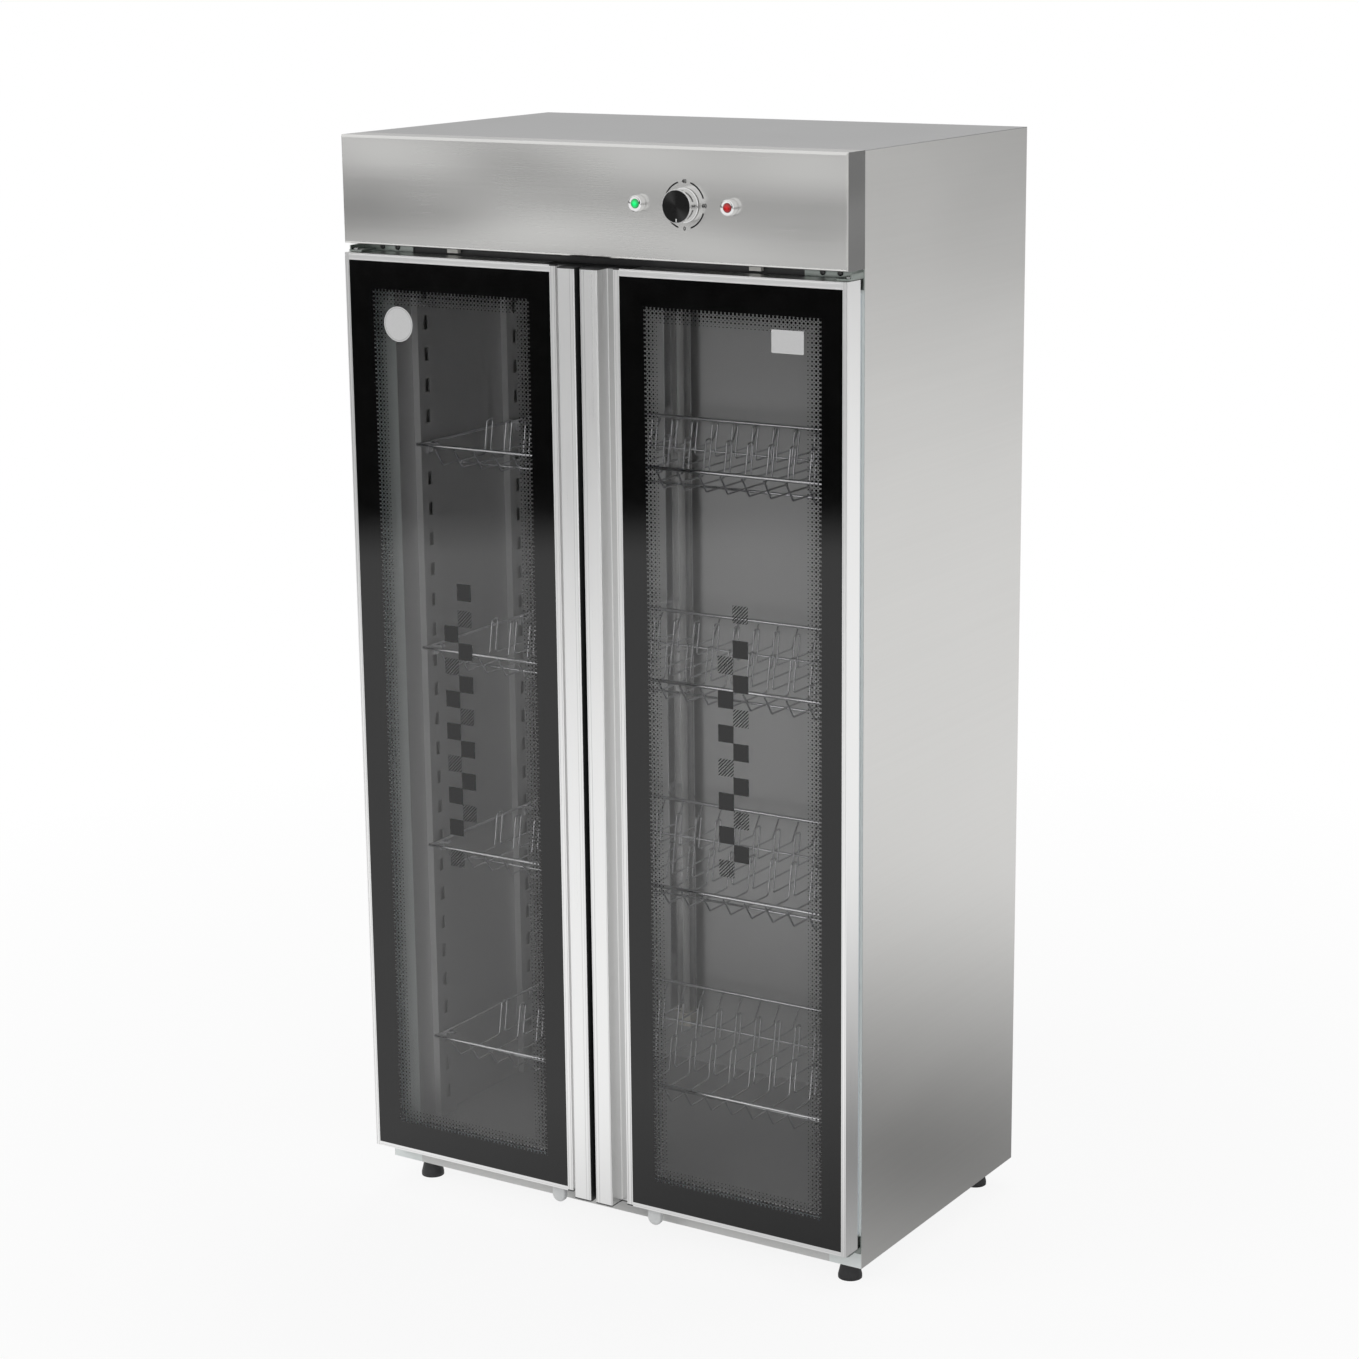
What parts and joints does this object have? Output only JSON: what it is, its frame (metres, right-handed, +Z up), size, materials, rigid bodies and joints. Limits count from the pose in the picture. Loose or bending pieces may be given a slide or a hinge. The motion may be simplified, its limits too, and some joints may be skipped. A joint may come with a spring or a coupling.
{
  "type": "dish sterilizer cabinet",
  "caption": "Free-standing stainless steel dish sterilizer cabinet with tinted glass doors, wire racks, a timer knob and pilot lamps in the top fascia, on levelling feet.",
  "frame": {"origin": "on the floor, under the middle of the overall box", "axes": "+Z up, doors and fascia face -Y, +X to the right for someone facing the doors"},
  "size_m": [0.9, 0.607, 1.75],
  "materials": {
    "stainless": "brushed, fine vertical grain",
    "painted_rail": "satin",
    "liner_steel": "satin",
    "frame_aluminium": "satin anodised",
    "black_plastic": "matte",
    "catch_plastic": "satin",
    "door_glass": "tinted, black printed border",
    "seal": "matte",
    "nylon": "matte",
    "knob_plastic": "satin",
    "zinc": "zinc plated",
    "steel_pin": "machined",
    "screw_steel": "blackened",
    "chrome": "polished",
    "chromed_wire": "bright plated",
    "green_lens": "gloss, translucent",
    "red_lens": "gloss, translucent",
    "sensor_plastic": "matte",
    "polished_aluminium": "polished",
    "quartz": "clear, white coated",
    "porcelain": "glazed"
  },
  "bodies": {
    "cabinet": {"back_panel": "stainless", "back_panel_screws": "screw_steel", "base_tray": "painted_rail", "cable_gland": "black_plastic", "catch_keepers": "zinc", "chamber_back_wall": "liner_steel", "chamber_ceiling": "liner_steel", "chamber_floor": "liner_steel", "compartment_floor": "liner_steel", "control_fascia": "stainless", "door_sensors": "sensor_plastic", "foot_inserts": "zinc", "green_lens": "green_lens", "head_rail": "liner_steel", "heater_tubes": "quartz", "hinge_pins": "steel_pin", "hinge_plates": "zinc", "hinge_screws": "screw_steel", "lamp_bezels": "chrome", "lamp_reflectors": "polished_aluminium", "left_chamber_wall": "liner_steel", "left_side_panel": "stainless", "left_uprights": "liner_steel", "rack_clips": "chromed_wire", "red_lens": "red_lens", "right_chamber_wall": "liner_steel", "right_side_panel": "stainless", "right_uprights": "liner_steel", "terminal_block": "nylon", "timer_body": "nylon", "top_panel": "stainless", "tube_sockets": "porcelain", "wire_rack_1": "chromed_wire", "wire_rack_2": "chromed_wire", "wire_rack_3": "chromed_wire", "wire_rack_4": "chromed_wire"},
    "left_door": {"left_handle_stile": "frame_aluminium", "left_handle_end_caps": "black_plastic", "left_hinge_stile": "frame_aluminium", "left_hinge_bushes": "nylon", "left_door_top_rail": "frame_aluminium", "left_door_bottom_rail": "frame_aluminium", "left_door_glass": "door_glass", "left_door_gasket": "seal", "left_catch_tongue": "catch_plastic"},
    "right_door": {"right_handle_stile": "frame_aluminium", "right_handle_end_caps": "black_plastic", "right_hinge_stile": "frame_aluminium", "right_hinge_bushes": "nylon", "right_door_top_rail": "frame_aluminium", "right_door_bottom_rail": "frame_aluminium", "right_door_glass": "door_glass", "right_door_gasket": "seal", "right_catch_tongue": "catch_plastic"},
    "timer_control": {"timer_knob": "knob_plastic", "timer_shaft": "steel_pin"},
    "front_left_foot_body": {"front_left_foot": "black_plastic"},
    "front_right_foot_body": {"front_right_foot": "black_plastic"},
    "rear_left_foot_body": {"rear_left_foot": "black_plastic"},
    "rear_right_foot_body": {"rear_right_foot": "black_plastic"}
  },
  "joints": [
    {"name": "left_door_hinge", "type": "hinge", "parent": "cabinet", "child": "left_door", "pos_m": [-0.4415, -0.2605, 0.823], "axis": [0, 0, -1], "range_deg": [0, 110]},
    {"name": "right_door_hinge", "type": "hinge", "parent": "cabinet", "child": "right_door", "pos_m": [0.4415, -0.2605, 0.823], "axis": [0, 0, 1], "range_deg": [0, 110]},
    {"name": "timer_knob_turn", "type": "hinge", "parent": "cabinet", "child": "timer_control", "pos_m": [0.178, -0.2905, 1.666], "axis": [0, 1, 0], "range_deg": [0, 270]},
    {"name": "front_left_foot_screw", "type": "hinge", "parent": "cabinet", "child": "front_left_foot_body", "pos_m": [-0.405, -0.1855, 0.05], "axis": [0, 0, 1], "continuous": true},
    {"name": "front_right_foot_screw", "type": "hinge", "parent": "cabinet", "child": "front_right_foot_body", "pos_m": [0.405, -0.1855, 0.05], "axis": [0, 0, 1], "continuous": true},
    {"name": "rear_left_foot_screw", "type": "hinge", "parent": "cabinet", "child": "rear_left_foot_body", "pos_m": [-0.405, 0.2445, 0.05], "axis": [0, 0, 1], "continuous": true},
    {"name": "rear_right_foot_screw", "type": "hinge", "parent": "cabinet", "child": "rear_right_foot_body", "pos_m": [0.405, 0.2445, 0.05], "axis": [0, 0, 1], "continuous": true}
  ]
}
